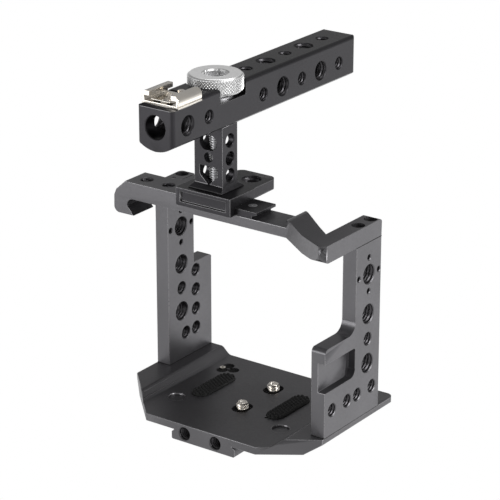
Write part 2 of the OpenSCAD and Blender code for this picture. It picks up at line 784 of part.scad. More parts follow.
// Post with its windows, a flange at the bottom and a tenon that goes into the bar
flange_w = 20.4;
flange_d = 18;
flange_h = 2.6;
flange_rim = 0.5;
tenon_in = 0.5;
tenon_h = 8;
pair_z = 19.9;
pair_h = 8;
pair_w = 10.4;
round_z = 16.4;
round_d = 5.2;
shield_z = 2.4;
shield_h = 9.4;
shield_w = 10.5;
shield_shoulder = 4.6;
side_hole_d = 6.5;
side_hole_z = [7.3, 15.9, 25];
module flare(w0, w1) {
  polygon([[-w0 / 2, 0], [w0 / 2, 0], [w0 / 2, flange_rim], [w1 / 2, flange_h], [-w1 / 2, flange_h], [-w0 / 2, flange_rim]]);
}
module post_flange() {
  intersection() {
    translate([0, flange_d / 2, 0]) rotate([90, 0, 0]) linear_extrude(flange_d) flare(flange_w, post_w);
    translate([-flange_w / 2, 0, 0]) rotate([90, 0, 90]) linear_extrude(flange_w) flare(flange_d, post_d);
  }
}
module handle_post() {
  color("dimgray") translate([x_handle, 0, z_foot_top]) difference() {
    union() {
      post_flange();
      // The shoulders follow the round underside of the bar
      difference() {
        translate([-post_w / 2, -post_d / 2, 0]) cube([post_w, post_d, post_h + bar_sag]);
        bar_belly(post_h);
      }
      translate([tenon_in - post_w / 2, tenon_in - post_d / 2, 0])
        cube([post_w - 2 * tenon_in, post_d - 2 * tenon_in, post_h + tenon_h]);
    }
    translate([0, 0, -over]) cylinder(d = rod_way, h = post_h + tenon_h + 2 * over);
    // Front and rear windows
    translate([0, -post_d / 2 - over, 0]) to_y() {
      window = post_d + 2 * over;
      for (s = [-1, 1]) translate([s * (pair_w - pair_h) / 2, -pair_z - pair_h / 2, 0]) cylinder(d = pair_h, h = window);
      translate([-(pair_w - pair_h) / 2, -pair_z - pair_h, 0]) cube([pair_w - pair_h, pair_h, window]);
      translate([0, -round_z, 0]) cylinder(d = round_d, h = window);
    }
    translate([0, post_d / 2 + over, 0]) rotate([90, 0, 0]) linear_extrude(post_d + 2 * over)
      polygon([[0, shield_z], [shield_w / 2, shield_z + shield_h - shield_shoulder], [shield_w / 2, shield_z + shield_h],
        [-shield_w / 2, shield_z + shield_h], [-shield_w / 2, shield_z + shield_h - shield_shoulder]]);
    for (z = side_hole_z) translate([-post_w / 2, 0, z]) to_x() through(side_hole_d, post_w);
    post_screw_holes();
    for (s = [-1, 1]) translate([s * bar_screw_x, 0, post_h + tenon_h]) shank_hole(flat_d, bar_bite);
  }
}
module post_screw_holes() {
  for (x = [-post_screw_x, post_screw_x]) for (y = [-post_screw_y, post_screw_y])
    translate([x, y, -over]) cylinder(d = flat_d + 2 * run, h = post_bite + slip + over);
}

// Bar: straight sides, a round underside and rounded edges
belly_r = (bar_w * bar_w / 4 + bar_sag * bar_sag) / (2 * bar_sag);
bar_edge = 2;
seat_drop = 2;
seat_len = 23.4;
nose_deep = 19;
nose_down = 9.2;
bar_row_down = 11.3;
nose_big_y = 36;
nose_small_y = 19.3;
bar_row_start = 25;
pocket_round = 14.6;
bar_screw_x = 5.9;
bar_bite = 7;
bar_screw_l = z_pocket - z_bar - tenon_h + bar_bite;

// Everything above the bar's round underside whose lowest line is at the height z
module bar_belly(z) {
  translate([0, -bar_rear - bar_front, z + belly_r]) to_y() cylinder(r = belly_r, h = 2 * (bar_rear + bar_front));
}

module handle_bar() {
  z_row = z_bar_top - bar_row_down;
  color("dimgray") translate([x_handle, 0, 0]) difference() {
    intersection() {
      span([-bar_w / 2, -bar_front, z_bar], [bar_w / 2, bar_rear, z_bar_top]);
      union() {
        bar_belly(z_bar);
        span([-bar_w, -bar_front - over, z_bar_side], [bar_w, bar_rear + over, z_bar_top + over]);
      }
    }
    // Edges along the top and at both ends
    translate([-bar_w / 2, -bar_front, z_bar_top]) rotate([-90, 0, 0]) corner(bar_edge, bar_front + bar_rear);
    translate([bar_w / 2, -bar_front, z_bar_top]) rotate([-90, 0, 0]) rotate([0, 0, 90]) corner(bar_edge, bar_front + bar_rear);
    translate([-bar_w / 2, -bar_front, z_bar]) corner(bar_edge, bar_h + bar_sag);
    translate([bar_w / 2, -bar_front, z_bar]) rotate([0, 0, 90]) corner(bar_edge, bar_h + bar_sag);
    translate([-bar_w / 2, bar_rear, z_bar]) rotate([0, 0, -90]) corner(bar_edge, bar_h + bar_sag);
    translate([bar_w / 2, bar_rear, z_bar]) rotate([0, 0, 180]) corner(bar_edge, bar_h + bar_sag);
    // Seat of the cold shoe
    span([-bar_w / 2 - over, -bar_front - over, z_bar_top - seat_drop],
      [bar_w / 2 + over, seat_len - bar_front, z_bar_top + over]);
    for (y = shoe_screw_y) translate([0, y, z_bar_top - seat_drop]) shank_hole(shoe_screw_d, shoe_screw_l - shoe_floor_t);
    translate([0, shoe_stop_y, z_bar_top - seat_drop]) shank_hole(shoe_screw_d, stop_bite);
    // Wheel pocket, post mortise and the way of the long screw
    translate([0, 0, z_pocket]) cylinder(r = pocket_round, h = wheel_pocket + over);
    translate([tenon_in - post_w / 2 - run, tenon_in - post_d / 2 - run, z_bar - over])
      cube([post_w - 2 * tenon_in + 2 * run, post_d - 2 * tenon_in + 2 * run, tenon_h + run + over]);
    translate([0, 0, z_bar - over]) cylinder(d = rod_way, h = bar_h + bar_sag);
    for (s = [-1, 1]) translate([s * bar_screw_x, 0, z_pocket])
      flat_seat(flat_d, flat_head_d, flat_head_h, z_pocket - z_bar - tenon_h + over);
    // Bore in the nose and the holes across the bar
    translate([0, -bar_front, z_bar_top - bar_row_down]) to_y() drill(nose_d, nose_deep);
    translate([-bar_w / 2, -nose_big_y, z_row]) to_x() through(big_thread_d, bar_w);
    translate([-bar_w / 2, -nose_small_y, z_row]) to_x() through(small_thread_d, bar_w);
    for (i = [0:4]) translate([-bar_w / 2, bar_row_start + i * bar_pitch, z_row]) to_x()
      through(i % 2 == 0 ? small_thread_d : big_thread_d, bar_w);
    // Holes down the bar
    for (i = [0:4]) translate([0, bar_row_start + i * bar_pitch, 0])
      cross_hole(i % 2 == 0 ? small_thread_d : big_thread_d);
  }
}
module cross_hole(d) {
  translate([0, 0, z_bar - over]) cylinder(d = d, h = bar_h + bar_sag + 2 * over);
  translate([0, 0, z_bar_top - mouth_break]) cylinder(d1 = d, d2 = d + 2 * mouth_break, h = mouth_break);
}
module bar_screws() {
  color("silver") for (s = [-1, 1]) translate([x_handle + s * bar_screw_x, 0, z_pocket])
    flat_screw(flat_d, flat_head_d, flat_head_h, bar_screw_l);
}

// Thumb screw: washer, wheel with a boss, the long screw and its ring
wheel_washer_d = 17;
wheel_washer_t = 0.8;
boss_d = 15;
rim_break = 1;
hex_head_d = 12.8;
hex_head_h = 3;
hex_head_in = 3.6;
clip_d = 10;
clip_t = 0.8;
clip_slot = 3;
groove_deep = 0.6;
z_wheel = z_pocket + wheel_washer_t + slip / 2;
z_rim = z_wheel + wheel_gap;
z_head = z_rim + wheel_t - hex_head_in - hex_head_h;
z_clip = z_top + slip;
module wheel_washer() {
  color("silver") translate([x_handle, 0, z_pocket]) difference() {
    cylinder(d = wheel_washer_d, h = wheel_washer_t);
    translate([0, 0, -over]) cylinder(d = rod_way, h = wheel_washer_t + 2 * over);
  }
}
module thumbwheel() {
  color("silver") translate([x_handle, 0, 0]) difference() {
    union() {
      translate([0, 0, z_wheel]) cylinder(d = boss_d, h = wheel_gap + rim_break);
      translate([0, 0, z_rim]) cylinder(d1 = wheel_d - 2 * rim_break, d2 = wheel_d, h = rim_break);
      translate([0, 0, z_rim + rim_break]) cylinder(d = wheel_d, h = wheel_t - 2 * rim_break);
      translate([0, 0, z_rim + wheel_t - rim_break]) cylinder(d1 = wheel_d, d2 = wheel_d - 2 * rim_break, h = rim_break);
    }
    translate([0, 0, z_head]) cylinder(d = hex_head_d + 2 * run, h = hex_head_h + hex_head_in + over, $fn = 6);
    translate([0, 0, z_rim + wheel_t - mouth_break])
      cylinder(d1 = hex_head_d - 2 * mouth_break, d2 = hex_head_d + 2 * run, h = mouth_break + run);
    translate([0, 0, z_wheel - over]) cylinder(d = rod_d + 2 * run, h = z_head - z_wheel + 2 * over);
  }
}
module clamp_screw() {
  color("silver") translate([x_handle, 0, 0]) difference() {
    union() {
      translate([0, 0, z_deck]) cylinder(d = rod_d, h = z_head - z_deck + over);
      translate([0, 0, z_head]) cylinder(d = hex_head_d, h = hex_head_h, $fn = 6);
    }
    translate([0, 0, z_clip - run]) difference() {
      cylinder(d = rod_d + over, h = clip_t + 2 * run);
      translate([0, 0, -over]) cylinder(d = rod_d - 2 * groove_deep, h = clip_t + 2 * over);
    }
  }
}
module screw_retaining_ring() {
  color("silver") translate([x_handle, 0, z_clip]) difference() {
    cylinder(d = clip_d, h = clip_t);
    translate([0, 0, -over]) cylinder(d = rod_d - 2 * groove_deep + 2 * run, h = clip_t + 2 * over);
    span([-clip_slot / 2, 0, -over], [clip_slot / 2, clip_d, clip_t + over]);
  }
}

// Cold shoe with its leaf spring and screws
shoe_back = 25.1;
shoe_lip_t = 2.5;
shoe_floor_t = shoe_h - shoe_slot_h - shoe_lip_t;
shoe_screw_d = 2;
shoe_screw_head = 3.6;
shoe_screw_head_h = 1;
shoe_screw_l = 5;
shoe_front_in = 4;
shoe_rear_in = 5.6;
shoe_stop_in = 1.9;
shoe_screw_y = [shoe_front_in - shoe_back - shoe_l, -shoe_back - shoe_rear_in];
shoe_stop_y = -shoe_back - shoe_stop_in;
stop_d = 3.2;
stop_bite = 3;
spring_w = 11;
spring_t = 0.3;
spring_rise = 0.9;
spring_flat = 7;
spring_in = 0.6;
shoe_corner = 1.6;
shoe_groove_z = 1.1;
shoe_groove_in = 0.5;
shoe_groove_h = 0.5;
z_shoe = z_bar_top - seat_drop;
module cold_shoe() {
  w = shoe_w / 2;
  s = shoe_slot_w / 2;
  g = shoe_gap / 2;
  color("silver") translate([x_handle, -shoe_back, z_shoe]) difference() {
    rotate([90, 0, 0]) linear_extrude(shoe_l)
      polygon([[-w, 0], [w, 0], [w, shoe_groove_z], [w - shoe_groove_in, shoe_groove_z],
        [w - shoe_groove_in, shoe_groove_z + shoe_groove_h], [w, shoe_groove_z + shoe_groove_h],
        [w, shoe_h - shoe_corner], [w - shoe_corner, shoe_h], [g, shoe_h],
        [g, shoe_floor_t + shoe_slot_h], [s, shoe_floor_t + shoe_slot_h], [s, shoe_floor_t], [-s, shoe_floor_t],
        [-s, shoe_floor_t + shoe_slot_h], [-g, shoe_floor_t + shoe_slot_h], [-g, shoe_h], [shoe_corner - w, shoe_h],
        [-w, shoe_h - shoe_corner], [-w, shoe_groove_z + shoe_groove_h], [shoe_groove_in - w, shoe_groove_z + shoe_groove_h],
        [shoe_groove_in - w, shoe_groove_z], [-w, shoe_groove_z]]);
    for (y = shoe_screw_y) translate([0, y + shoe_back, shoe_floor_t])
      flat_seat(shoe_screw_d, shoe_screw_head, shoe_screw_head_h, shoe_floor_t + over);
    translate([0, shoe_stop_y + shoe_back, -over]) cylinder(d = shoe_screw_d + 2 * run, h = shoe_floor_t + 2 * over);
  }
}
module shoe_spring() {
  y0 = -shoe_back - shoe_l + spring_in;
  y1 = shoe_stop_y - stop_d;
  yc = (y0 + y1) / 2;
  color("silver") translate([x_handle - spring_w / 2, 0, z_shoe + shoe_floor_t]) difference() {
    rotate([90, 0, 90]) linear_extrude(spring_w)
      polygon([[y0, spring_rise], [yc - spring_flat / 2, 0], [yc + spring_flat / 2, 0], [y1, spring_rise],
        [y1, spring_rise + spring_t], [yc + spring_flat / 2, spring_t], [yc - spring_flat / 2, spring_t],
        [y0, spring_rise + spring_t]]);
    for (y = shoe_screw_y) translate([spring_w / 2, y, -over])
      cylinder(d = shoe_screw_head + 2 * slip, h = spring_rise + spring_t + 2 * over);
  }
}
module shoe_screws() {
  color("silver") for (y = shoe_screw_y) translate([x_handle, y, z_shoe + shoe_floor_t])
    flat_screw(shoe_screw_d, shoe_screw_head, shoe_screw_head_h, shoe_screw_l);
}
module shoe_stop_screw() {
  color("silver") translate([x_handle, shoe_stop_y, z_shoe + shoe_floor_t]) {
    cylinder(d = stop_d, h = shoe_slot_h);
    translate([0, 0, -shoe_floor_t - stop_bite]) cylinder(d = shoe_screw_d, h = shoe_floor_t + stop_bite + shoe_slot_h / 2);
  }
}

base_plate();
left_side_plate();
right_side_plate();
left_base_screws();
right_base_screws();
left_top_screw();
left_locating_pin();
right_top_screws();
top_plate();
accessory_rail();
rail_screws();
left_rubber_pad();
right_rubber_pad();
front_screw_washer();
rear_screw_washer();
front_camera_screw();
rear_camera_screw();
floor_set_screw();
handle_foot();
handle_post();
post_screws();
handle_bar();
bar_screws();
thumbwheel();
clamp_screw();
wheel_washer();
screw_retaining_ring();
cold_shoe();
shoe_spring();
shoe_screws();
shoe_stop_screw();
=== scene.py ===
import json
import math

import bmesh
import bpy
from mathutils import Matrix, Vector


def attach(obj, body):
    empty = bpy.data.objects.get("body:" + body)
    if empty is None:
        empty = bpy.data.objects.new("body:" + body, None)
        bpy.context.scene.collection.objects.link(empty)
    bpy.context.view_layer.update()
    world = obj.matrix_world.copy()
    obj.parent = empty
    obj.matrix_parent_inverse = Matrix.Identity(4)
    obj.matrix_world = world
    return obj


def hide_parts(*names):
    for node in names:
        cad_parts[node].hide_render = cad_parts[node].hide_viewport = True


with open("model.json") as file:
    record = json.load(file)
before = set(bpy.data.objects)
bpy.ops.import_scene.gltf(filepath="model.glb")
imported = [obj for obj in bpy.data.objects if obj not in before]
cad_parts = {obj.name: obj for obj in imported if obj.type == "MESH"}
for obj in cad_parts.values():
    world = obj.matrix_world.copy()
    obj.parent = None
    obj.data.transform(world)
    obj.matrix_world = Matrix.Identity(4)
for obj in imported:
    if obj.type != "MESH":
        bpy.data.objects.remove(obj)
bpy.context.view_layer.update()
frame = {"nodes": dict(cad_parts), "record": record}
scene = bpy.context.scene
record = frame["record"]

MM = 0.001
TURN = 2.0 * math.pi

# Faces, levels and hole lines of the cage, in millimetres of the shared frame
X_LEFT = -62.6
X_RIGHT = 57.4
X_HANDLE = -24.8
SIDE_T = 7.8
DECK_T = 8.8
Z_FLOOR = 9.3
Z_PAD = 13.3
Z_DECK = 102.2
Z_TOP = 111.0
Z_BAR = 146.7
Z_BAR_TOP = 169.9
BASE_FRONT = 45.4
BAR_W = 21.0
BAR_ROW = 158.6
HOLE_LINE = 10.8

BODY = {name: body for body, names in record["behaviour"]["bodies"].items() for name in names}


# ---------- materials ----------
def noise(tree, coords, scale, detail=2.0):
    texture = tree.nodes.new("ShaderNodeTexNoise")
    texture.inputs["Scale"].default_value = scale
    texture.inputs["Detail"].default_value = detail
    tree.links.new(coords, texture.inputs["Vector"])
    return texture.outputs["Fac"]


# Noise that colours whole faces, and the part of a noise's range that is used
CLOUD_SCALE = 35.0
CLOUD_DETAIL = 3.0
NOISE_LOW = 0.3
NOISE_HIGH = 0.7
PIT_HEIGHT = 0.00002
SMOOTHEST = 0.02


def finish(name, base, metallic, rough, tint=0.08, grain=900.0, grain_amount=0.05,
           pits=1800.0, pit_depth=0.05, specular=0.5, stretch=None, warm=None):
    """A surface with soft clouds of colour, a fine grain in its roughness and small pits."""
    material = bpy.data.materials.new(name)
    material.use_nodes = True
    tree = material.node_tree
    shader = tree.nodes["Principled BSDF"]
    shader.inputs["Metallic"].default_value = metallic
    shader.inputs["Specular IOR Level"].default_value = specular
    where = tree.nodes.new("ShaderNodeTexCoord").outputs["Object"]

    colours = tree.nodes.new("ShaderNodeValToRGB")
    low = [c * (1.0 - tint) for c in base]
    high = [min(1.0, c * (1.0 + tint)) for c in (warm or base)]
    colours.color_ramp.elements[0].position = NOISE_LOW
    colours.color_ramp.elements[0].color = (*low, 1.0)
    colours.color_ramp.elements[1].position = NOISE_HIGH
    colours.color_ramp.elements[1].color = (*high, 1.0)
    tree.links.new(noise(tree, where, CLOUD_SCALE, CLOUD_DETAIL), colours.inputs["Fac"])
    tree.links.new(colours.outputs["Color"], shader.inputs["Base Color"])

    fine_where = where
    if stretch:
        brush = tree.nodes.new("ShaderNodeMapping")
        brush.inputs["Scale"].default_value = stretch
        tree.links.new(where, brush.inputs["Vector"])
        fine_where = brush.outputs["Vector"]
    spread = tree.nodes.new("ShaderNodeMapRange")
    spread.inputs["From Min"].default_value = NOISE_LOW
    spread.inputs["From Max"].default_value = NOISE_HIGH
    spread.inputs["To Min"].default_value = max(SMOOTHEST, rough - grain_amount)
    spread.inputs["To Max"].default_value = rough + grain_amount
    tree.links.new(noise(tree, fine_where, grain), spread.inputs["Value"])
    tree.links.new(spread.outputs["Result"], shader.inputs["Roughness"])

    relief = tree.nodes.new("ShaderNodeBump")
    relief.inputs["Strength"].default_value = pit_depth
    relief.inputs["Distance"].default_value = PIT_HEIGHT
    tree.links.new(noise(tree, where, pits), relief.inputs["Height"])
    tree.links.new(relief.outputs["Normal"], shader.inputs["Normal"])
    return material


CAGE = finish("anodised_cage", (0.106, 0.104, 0.110), 0.88, 0.36)
FLOOR = finish("anodised_base", (0.099, 0.097, 0.102), 0.88, 0.38)
# The handle's colour is far darker than the cage's, a painted shade for the raised handle getting less light
# from the table
HANDLE = finish("anodised_handle", (0.031, 0.030, 0.033), 0.88, 0.34)
# Lighter copies of the anodised colours, a painted highlight on the broken edges
EDGE_HIGHLIGHT = finish("anodised_edge_highlight", (0.21, 0.206, 0.215), 0.9, 0.30)
HANDLE_EDGE_HIGHLIGHT = finish("anodised_handle_edge_highlight", (0.115, 0.113, 0.117), 0.9, 0.28)
# A darker copy of the cage colour for the thread walls, a painted shade inside the holes
HOLE_SHADE = finish("anodised_hole_shade", (0.060, 0.058, 0.062), 0.88, 0.32)
SILVER = finish("machined_silver", (0.95, 0.95, 0.95), 0.95, 0.42, grain_amount=0.03,
                stretch=(1.0, 1.0, 0.05))
# A darker copy of the silver, a painted shade on the wheel's steep faces
SILVER_SHADED = finish("machined_silver_shaded", (0.56, 0.56, 0.56), 0.95, 0.36, grain_amount=0.03)
STEEL = finish("plain_steel", (0.50, 0.50, 0.51), 1.0, 0.36)
CHROME = finish("nickel_trim", (0.78, 0.75, 0.71), 1.0, 0.17, grain_amount=0.03,
                warm=(0.83, 0.78, 0.70))
# Near black, a painted shade in the joints between the plates and in the lobed recess
SHADE = finish("joint_shade", (0.010, 0.010, 0.010), 0.0, 0.80, specular=0.1)
OXIDE = finish("black_oxide", (0.025, 0.025, 0.026), 0.6, 0.38)
RUBBER = finish("black_rubber", (0.012, 0.012, 0.012), 0.0, 0.66, pit_depth=0.3, specular=0.25)

LOOK = {}
for look, names in (
        (CAGE, ("left_side_plate", "right_side_plate", "top_plate")),
        (FLOOR, ("base_plate",)),
        (HANDLE, ("handle_foot", "handle_post", "handle_bar", "accessory_rail")),
        (SILVER, ("thumbwheel",)),
        (CHROME, ("cold_shoe", "shoe_spring", "shoe_stop_screw",
                  "front_camera_screw", "rear_camera_screw", "floor_set_screw")),
        (STEEL, ("clamp_screw", "wheel_washer", "front_screw_washer", "rear_screw_washer",
                 "screw_retaining_ring", "shoe_screws", "rail_screws", "left_locating_pin")),
        (OXIDE, ("left_base_screws", "right_base_screws", "left_top_screw", "right_top_screws",
                 "post_screws", "bar_screws")),
        (RUBBER, ("left_rubber_pad", "right_rubber_pad"))):
    for name in names:
        LOOK[name] = look
        node = frame["nodes"][name]
        node.data.materials.clear()
        node.data.materials.append(look)


# ---------- pieces ----------
def place(obj, node, replaces=True):
    """Hangs a piece on the body of a CAD node, and in its place if asked."""
    scene.collection.objects.link(obj)
    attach(obj, BODY[node])
    if replaces:
        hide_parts(node)
    return obj


class Shell:
    """The faces of one piece, taken in millimetres."""

    def __init__(self):
        self.bm = bmesh.new()

    def rows(self, rows, closed=True, flip=False):
        """A skin over rows of points. It faces outward where rows rise and points go anticlockwise."""
        rings = [[self.bm.verts.new(Vector(p) * MM) for p in row] for row in rows]
        for lower, upper in zip(rings, rings[1:]):
            count = len(lower)
            for i in range(count if closed else count - 1):
                j = (i + 1) % count
                quad = [lower[i], lower[j], upper[j], upper[i]]
                self.bm.faces.new(quad[::-1] if flip else quad)

    def part_of(self, node, level, above):
        """A CAD node's own shape above or below a level."""
        part = bmesh.new()
        part.from_mesh(frame["nodes"][node].data)
        everything = part.verts[:] + part.edges[:] + part.faces[:]
        bmesh.ops.bisect_plane(part, geom=everything, plane_co=(0.0, 0.0, level * MM),
                               plane_no=(0.0, 0.0, 1.0), clear_inner=above, clear_outer=not above)
        cut = bpy.data.meshes.new("cut")
        part.to_mesh(cut)
        part.free()
        self.bm.from_mesh(cut)
        bpy.data.meshes.remove(cut)

    def finished(self, name, look, sharp=40.0):
        bmesh.ops.remove_doubles(self.bm, verts=self.bm.verts, dist=1e-7)
        mesh = bpy.data.meshes.new(name)
        self.bm.to_mesh(mesh)
        self.bm.free()
        for poly in mesh.polygons:
            poly.use_smooth = True
            poly.material_index = 0
        mesh.set_sharp_from_angle(angle=math.radians(sharp))
        mesh.materials.clear()
        mesh.materials.append(look)
        return bpy.data.objects.new(name, mesh)


# Bends in degrees above which an edge is broken, or stays sharp if it is too short to break
BROKEN_ANGLE = 50.0
SMOOTH_ANGLE = 38.0
SHORTEST_BROKEN = 1.2
BREAK_SEGMENTS = 2
FACE_WEIGHT = 100
HIGHLIGHT_LOOK = {CAGE: EDGE_HIGHLIGHT, FLOOR: EDGE_HIGHLIGHT, HANDLE: HANDLE_EDGE_HIGHLIGHT}


def softened(name, width, sharp_box=None):
    """The CAD node's own shape with its long edges broken and given a lighter colour as a painted highlight,
    but not in sharp_box.
    """
    mesh = bpy.data.meshes.new(name + "_body")
    bm = bmesh.new()
    bm.from_mesh(frame["nodes"][name].data)
    bmesh.ops.remove_doubles(bm, verts=bm.verts, dist=1e-6)
    bmesh.ops.dissolve_limit(bm, angle_limit=math.radians(1.0), verts=bm.verts, edges=bm.edges, delimit=set())
    weight = bm.edges.layers.float.new("bevel_weight_edge")
    for line in bm.edges:
        middle = (line.verts[0].co + line.verts[1].co) / 2 / MM
        boxed = sharp_box and all(
            low < c < high for c, (low, high) in zip(middle, sharp_box))
        bend = math.degrees(line.calc_face_angle(0.0)) if len(line.link_faces) == 2 else 0.0
        long = line.calc_length() > SHORTEST_BROKEN * MM
        broken = bend > BROKEN_ANGLE and long and not boxed
        line[weight] = 1.0 if broken else 0.0
        line.smooth = broken or bend < SMOOTH_ANGLE
    bm.to_mesh(mesh)
    bm.free()
    for poly in mesh.polygons:
        poly.use_smooth = True
    mesh.materials.clear()
    mesh.materials.append(LOOK[name])
    mesh.materials.append(HIGHLIGHT_LOOK.get(LOOK[name], LOOK[name]))
    obj = bpy.data.objects.new(name + "_body", mesh)
    edge = obj.modifiers.new("edge", "BEVEL")
    edge.width = width * MM
    edge.segments = BREAK_SEGMENTS
    edge.limit_method = "WEIGHT"
    edge.use_clamp_overlap = False
    # The bevel's faces take the lighter colour, a painted edge highlight
    edge.material = 1
    weighted = obj.modifiers.new("normals", "WEIGHTED_NORMAL")
    weighted.mode = "FACE_AREA"
    weighted.weight = FACE_WEIGHT
    weighted.keep_sharp = True
    place(obj, name)


PLATE_BREAK = 0.28
# The lobed recess in the floor and the crest of the top plate keep their sharp edges
LOBE_BOX = ((-41.0, -26.0), (14.0, 29.0), (7.0, 11.0))
CREST_BOX = ((22.0, 57.0), (-30.0, 8.0), (101.0, 113.0))
TRIM_BREAK = 0.2
FOOT_BREAK = 0.35
for name in ("left_side_plate", "right_side_plate", "handle_post", "handle_bar"):
    softened(name, PLATE_BREAK)
softened("base_plate", PLATE_BREAK, sharp_box=LOBE_BOX)
softened("top_plate", PLATE_BREAK, sharp_box=CREST_BOX)
softened("handle_foot", FOOT_BREAK)
for name in ("accessory_rail", "cold_shoe"):
    softened(name, TRIM_BREAK)


# ---------- threads ----------
# Major diameter, pitch and depth of a thread
BIG = (9.525, 1.5875, 0.85)
SMALL = (6.35, 1.27, 0.68)
THREAD_COLUMNS = 32
THREAD_STEPS = 6
THREAD_SKIN = 0.02
MOUTH = 0.5
# How steeply a thread's flank rises from its root to its flat crest
FLANK = 1.3

AXES = {"X": (Vector((0, 1, 0)), Vector((0, 0, 1)), Vector((1, 0, 0))),
        "Y": (Vector((0, 0, 1)), Vector((1, 0, 0)), Vector((0, 1, 0))),
        "Z": (Vector((1, 0, 0)), Vector((0, 1, 0)), Vector((0, 0, 1)))}


def triangle(turns):
    """0 at whole turns and 1 half way between them."""
    return 1.0 - abs(2.0 * (turns % 1.0) - 1.0)


def inner_thread(shell, start, axis, length, thread):
    """The wall of a threaded hole that runs from the start point along an axis."""
    diameter, pitch, depth = thread
    across, up, along = AXES[axis]
    steps = max(4, round(length / pitch * THREAD_STEPS))
    rows = []
    for k in range(steps + 1):
        s = length * k / steps
        fade = min(1.0, s / pitch, (length - s) / pitch)
        row = []
        for i in range(THREAD_COLUMNS):
            angle = TURN * i / THREAD_COLUMNS
            crest = min(1.0, FLANK * triangle(s / pitch - i / THREAD_COLUMNS))
            r = diameter / 2 - THREAD_SKIN - depth * fade * crest
            row.append(Vector(start) + along * s + (across * math.cos(angle) + up * math.sin(angle)) * r)
        rows.append(row)
    shell.rows(rows, flip=True)


def outer_thread_rows(x, y, z0, z1, diameter, pitch, depth, end_fade=0.6):
    """Rows of a threaded rod along Z."""
    steps = max(4, round((z1 - z0) / pitch * THREAD_STEPS))
    rows = []
    for k in range(steps + 1):
        z = z0 + (z1 - z0) * k / steps
        fade = min(1.0, (z - z0) / end_fade, (z1 - z) / end_fade)
        row = []
        for i in range(THREAD_COLUMNS):
            angle = TURN * i / THREAD_COLUMNS
            root = 1.0 - min(1.0, FLANK * triangle(z / pitch - i / THREAD_COLUMNS))
            r = diameter / 2 - depth * (root * fade + (1.0 - fade))
            row.append((x + r * math.cos(angle), y + r * math.sin(angle), z))
        rows.append(row)
    return rows


def round_row(x, y, r, z, columns=THREAD_COLUMNS):
    angles = [TURN * i / columns for i in range(columns)]
    return [(x + r * math.cos(angle), y + r * math.sin(angle), z) for angle in angles]


def through_x(x, y, z, thread):
    return (x + MOUTH, y, z), "X", SIDE_T - 2 * MOUTH, thread


# Heights of the uprights' holes above the raised sides of the floor
UPRIGHT_BIG = (26.4, 52.1, 72.5)
UPRIGHT_SMALL = 39.1


def upright_threads(x):
    holes = [through_x(x, HOLE_LINE, Z_PAD + h, BIG) for h in UPRIGHT_BIG]
    holes.append(through_x(x, HOLE_LINE, Z_PAD + UPRIGHT_SMALL, SMALL))
    return holes


HEEL_LINE = 22.6
HEEL_LOW = Z_PAD + 13.5
HEEL_PITCH = 10.6
HEEL_STEP = 8.6
HEEL_COUNT = 4
LOW_ROW = Z_PAD + 12.8
LOW_ROW_Y = (15.1, 2.3, -6.4, -19.4)
DECK_HOLES_X = (-4.9, 8.7)
WING_HOLE = (7.8, 18.7)
WING_T = 5.3
FOOT_HOLES_X = (-11.2, 7.2)
FOOT_HOLE_Z = 4.5
FOOT_HOLE_DEEP = 12.0
NOSE_BIG_Y = -36.0
NOSE_SMALL_Y = -19.3
BAR_COUNT = 5
WALL_LEFT = 4.5
BAR_PITCH = 16.5
BAR_START = 25.0
BAR_TOP_REACH = 6.0
BAR_TOP_SPARE = 0.6
BAR_UNDER_START = 1.2
BAR_UNDER_REACH = 5.6

threads = {
    "left_side_plate": upright_threads(X_LEFT)
    + [through_x(X_LEFT, HEEL_LINE, HEEL_LOW + i * HEEL_PITCH, SMALL) for i in range(HEEL_COUNT)]
    + [through_x(X_LEFT, HEEL_LINE - HEEL_STEP, HEEL_LOW, SMALL)],
    "right_side_plate": upright_threads(X_RIGHT - SIDE_T)
    + [through_x(X_RIGHT - SIDE_T, y, LOW_ROW, SMALL) for y in LOW_ROW_Y],
    "top_plate": [((X_LEFT + x, 0.0, Z_DECK + MOUTH), "Z", DECK_T - 2 * MOUTH, SMALL)
                  for x in DECK_HOLES_X],
    "handle_foot": [((X_HANDLE + WING_HOLE[0], WING_HOLE[1], Z_TOP + MOUTH), "Z",
                     WING_T - 2 * MOUTH, BIG)],
    "base_plate": [((x, MOUTH - BASE_FRONT, FOOT_HOLE_Z), "Y", FOOT_HOLE_DEEP - 2 * MOUTH, SMALL)
                   for x in FOOT_HOLES_X],
}
bar_threads = []
grip_rows = [(BAR_START + i * BAR_PITCH, BIG if i % 2 else SMALL) for i in range(BAR_COUNT)]
bar_rows = [(NOSE_BIG_Y, BIG), (NOSE_SMALL_Y, SMALL)] + grip_rows
for y, thread in bar_rows:
    bar_threads.append(((X_HANDLE - BAR_W / 2 + MOUTH, y, BAR_ROW), "X", WALL_LEFT, thread))
    bar_threads.append(((X_HANDLE + BAR_W / 2 - MOUTH - WALL_LEFT, y, BAR_ROW), "X", WALL_LEFT, thread))
for y, thread in grip_rows:
    bar_threads.append(((X_HANDLE, y, Z_BAR_TOP - MOUTH - BAR_TOP_REACH + BAR_TOP_SPARE), "Z",
                        BAR_TOP_REACH - BAR_TOP_SPARE, thread))
    bar_threads.append(((X_HANDLE, y, Z_BAR + BAR_UNDER_START), "Z", BAR_UNDER_REACH, thread))
threads["handle_bar"] = bar_threads
for name, holes in threads.items():
    shell = Shell()
    for hole in holes:
        inner_thread(shell, *hole)
    # The threads take the darker colour, a painted shade inside the holes
    place(shell.finished(name + "_threads", HOLE_SHADE, 60.0), name, replaces=False)


# ---------- long screw and camera screws ----------
ROD_D = 6.34
ROD_ROOT = 0.62
Z_RING = 111.25
RING_T = 0.9
RING_ROOT = 2.575
Z_HEAD = 167.35


